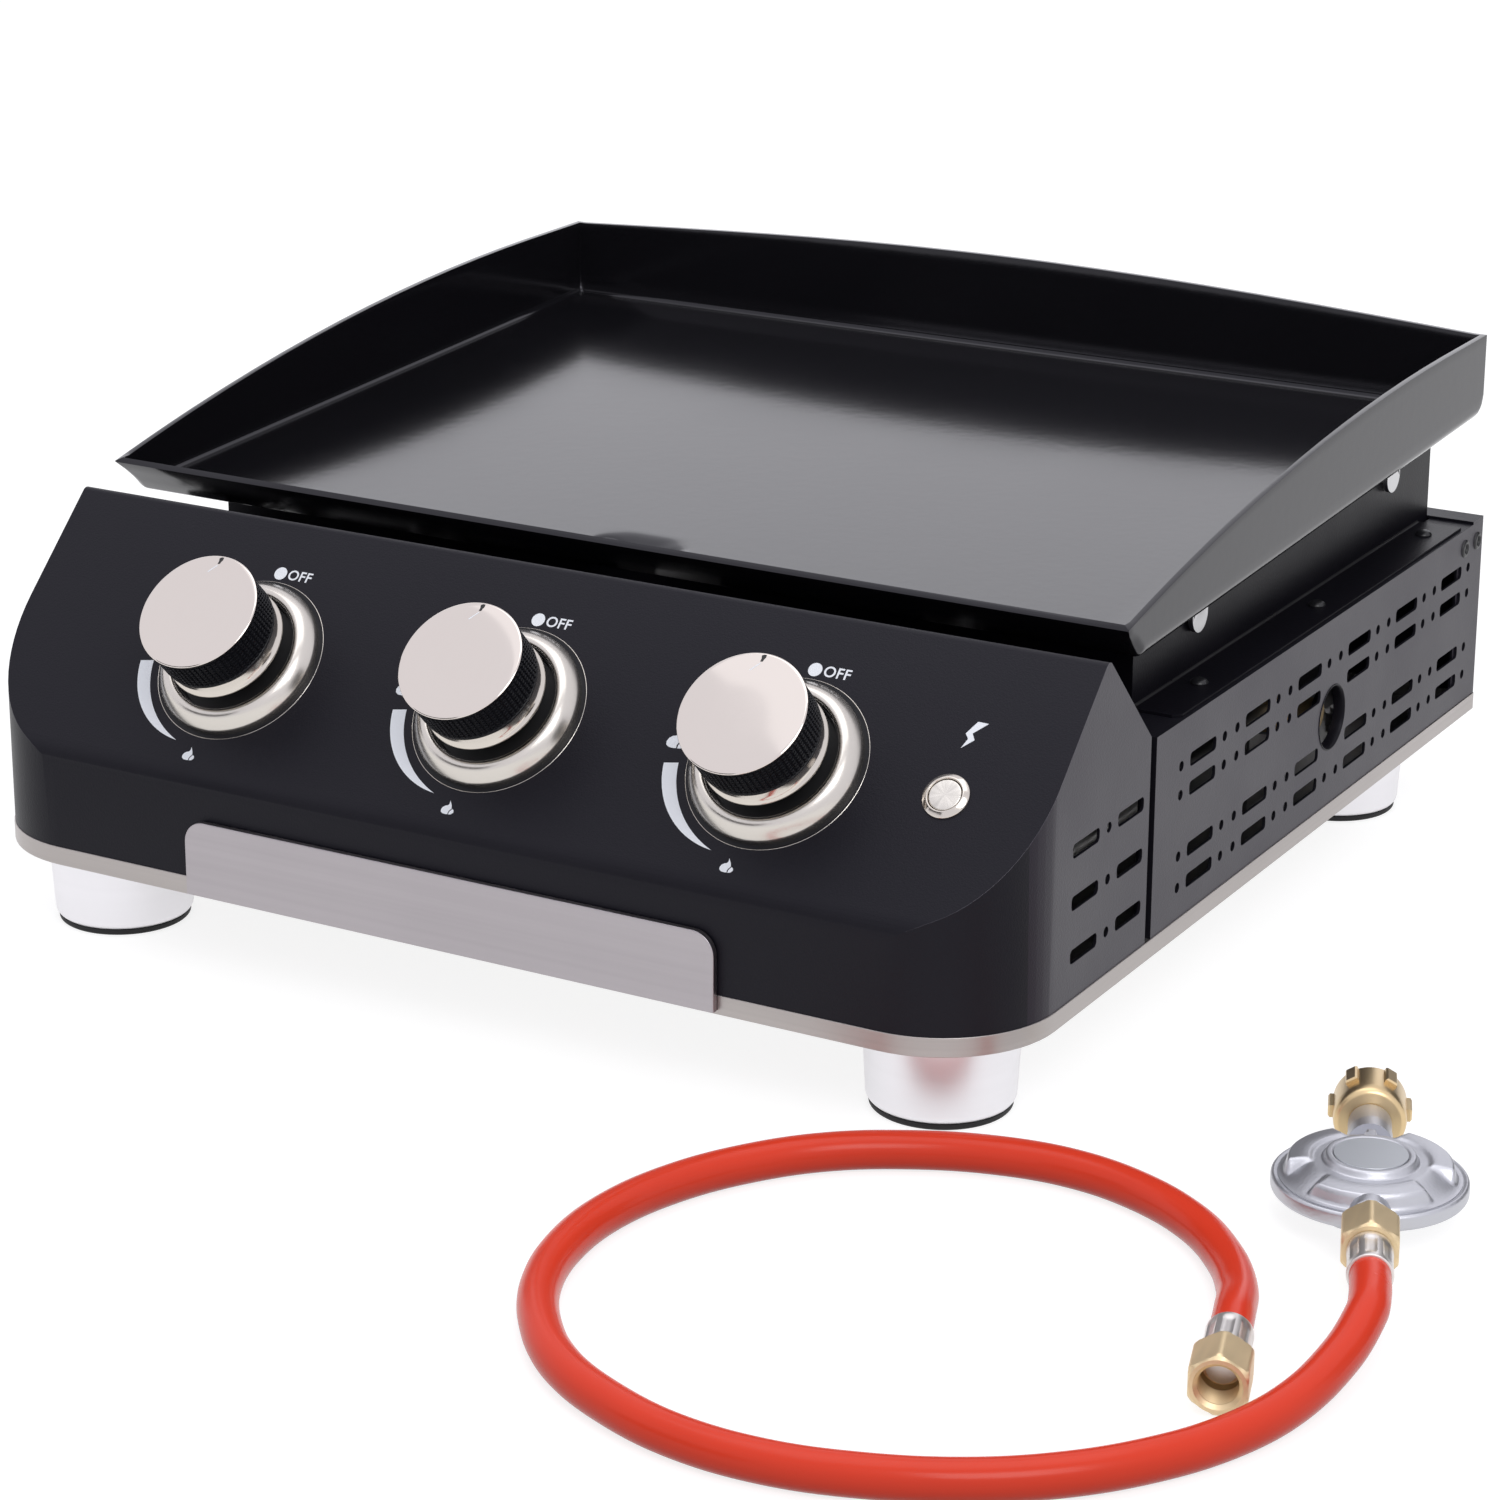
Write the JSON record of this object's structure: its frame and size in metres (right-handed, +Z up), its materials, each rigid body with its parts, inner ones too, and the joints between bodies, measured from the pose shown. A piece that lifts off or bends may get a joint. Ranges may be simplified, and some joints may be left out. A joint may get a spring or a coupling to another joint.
{
  "type": "tabletop gas griddle",
  "caption": "Tabletop gas griddle: enamelled plate over a vented firebox, push-and-turn burner knobs, igniter button, grease tray, and a loose gas hose with a bottle regulator.",
  "frame": {"origin": "On the ground under the middle of the griddle's bounding box, measured without the loose hose set.", "axes": "+X to the griddle's right, where the gas inlet is; +Y to the back; +Z up. The knobs are at -Y."},
  "size_m": [0.6329, 0.7054, 0.2136],
  "materials": {
    "black_powder": "fine-textured satin black powder coat",
    "griddle_enamel": "smooth glossy black enamel on steel",
    "firebox_black": "satin heat-resistant black",
    "trim_steel": "brushed stainless steel, warm tint",
    "plain_steel": "mill-finish sheet and tube",
    "bright_chrome": "polished chrome plate",
    "foot_metal": "soft polished metal",
    "knob_cap_steel": "turned and brushed",
    "knob_black": "fine vertical knurl",
    "hidden_plastic": "plain moulded",
    "brass": "machined, slightly dull",
    "rubber_foot": "moulded rubber",
    "ceramic_white": "glazed ceramic",
    "lead_black": "silicone lead",
    "hose_orange": "smooth orange gas hose",
    "cast_zinc": "fine cast zinc, satin"
  },
  "bodies": {
    "base": {"base_pan": "plain_steel", "trim_band": "trim_steel", "front_housing": "black_powder", "side_panel_left": "black_powder", "side_panel_right": "black_powder", "back_panel": "black_powder", "panel_rivets": "black_powder", "firebox": "firebox_black", "firebox_screws": "black_powder", "drip_guard": "plain_steel", "burner_left": "plain_steel", "burner_middle": "plain_steel", "burner_right": "plain_steel", "electrodes": "ceramic_white", "ignition_leads": "lead_black", "manifold": "plain_steel", "valve_left": "brass", "valve_middle": "brass", "valve_right": "brass", "gas_inlet": "brass", "inlet_pipe": "plain_steel", "inlet_bracket": "plain_steel", "igniter_ring": "bright_chrome", "igniter_module": "hidden_plastic", "bezel_left": "bright_chrome", "bezel_middle": "bright_chrome", "bezel_right": "bright_chrome", "tray_runners": "plain_steel", "foot_cups": "foot_metal", "foot_pads": "rubber_foot", "foot_bolts": "plain_steel"},
    "knob_push_left": {"stem_collar_left": "brass"},
    "knob_left": {"valve_stem_left": "plain_steel", "knob_grip_left": "knob_black", "knob_skirt_left": "bright_chrome", "knob_cap_left": "knob_cap_steel"},
    "knob_push_middle": {"stem_collar_middle": "brass"},
    "knob_middle": {"valve_stem_middle": "plain_steel", "knob_grip_middle": "knob_black", "knob_skirt_middle": "bright_chrome", "knob_cap_middle": "knob_cap_steel"},
    "knob_push_right": {"stem_collar_right": "brass"},
    "knob_right": {"valve_stem_right": "plain_steel", "knob_grip_right": "knob_black", "knob_skirt_right": "bright_chrome", "knob_cap_right": "knob_cap_steel"},
    "igniter": {"igniter_button": "knob_cap_steel"},
    "griddle": {"griddle_plate": "griddle_enamel", "locating_lugs": "plain_steel"},
    "grease_tray": {"drip_tray": "plain_steel", "tray_front": "trim_steel"},
    "hose_set": {"hose": "hose_orange", "hose_ferrules": "cast_zinc", "regulator_body": "cast_zinc", "regulator_cover": "cast_zinc", "bottle_nipple": "brass"},
    "inlet_nut": {"inlet_nut": "brass"},
    "regulator_nut": {"regulator_nut": "brass"},
    "bottle_nut": {"bottle_nut": "brass"}
  },
  "joints": [
    {"name": "knob_push_left", "type": "slide", "parent": "base", "child": "knob_push_left", "axis": [0, 0.6947, -0.7193], "range_m": [0, 0.003], "stiffness_N_per_m": 1000, "springref_m": -0.003},
    {"name": "knob_turn_left", "type": "hinge", "parent": "knob_push_left", "child": "knob_left", "pos_m": [-0.12, -0.19214, 0.12014], "axis": [0, -0.6947, 0.7193], "range_deg": [0, 175]},
    {"name": "knob_push_middle", "type": "slide", "parent": "base", "child": "knob_push_middle", "axis": [0, 0.6947, -0.7193], "range_m": [0, 0.003], "stiffness_N_per_m": 1000, "springref_m": -0.003},
    {"name": "knob_turn_middle", "type": "hinge", "parent": "knob_push_middle", "child": "knob_middle", "pos_m": [0, -0.19214, 0.12014], "axis": [0, -0.6947, 0.7193], "range_deg": [0, 175]},
    {"name": "knob_push_right", "type": "slide", "parent": "base", "child": "knob_push_right", "axis": [0, 0.6947, -0.7193], "range_m": [0, 0.003], "stiffness_N_per_m": 1000, "springref_m": -0.003},
    {"name": "knob_turn_right", "type": "hinge", "parent": "knob_push_right", "child": "knob_right", "pos_m": [0.12, -0.19214, 0.12014], "axis": [0, -0.6947, 0.7193], "range_deg": [0, 175]},
    {"name": "igniter_push", "type": "slide", "parent": "base", "child": "igniter", "axis": [0, 0.6947, -0.7193], "range_m": [0, 0.0025], "stiffness_N_per_m": 1000, "springref_m": -0.002},
    {"name": "griddle_lift", "type": "slide", "parent": "base", "child": "griddle", "axis": [0, 0, 1], "range_m": [0, 0.15]},
    {"name": "tray_slide", "type": "slide", "parent": "base", "child": "grease_tray", "axis": [0, -1, 0], "range_m": [0, 0.13]},
    {"name": "hose_set_lift", "type": "slide", "parent": "base", "child": "hose_set", "axis": [0, 0, 1], "range_m": [0, 0.15]},
    {"name": "inlet_nut_spin", "type": "hinge", "parent": "hose_set", "child": "inlet_nut", "pos_m": [0.36797, -0.34895, 0.011], "axis": [0.3074, -0.9516, 0], "continuous": true},
    {"name": "regulator_nut_spin", "type": "hinge", "parent": "hose_set", "child": "regulator_nut", "pos_m": [0.37554, -0.24512, 0.015], "axis": [-0.3725, 0.928, 0], "continuous": true},
    {"name": "bottle_nut_spin", "type": "hinge", "parent": "hose_set", "child": "bottle_nut", "pos_m": [0.3368, -0.14861, 0.015], "axis": [-0.3725, 0.928, 0], "continuous": true}
  ]
}
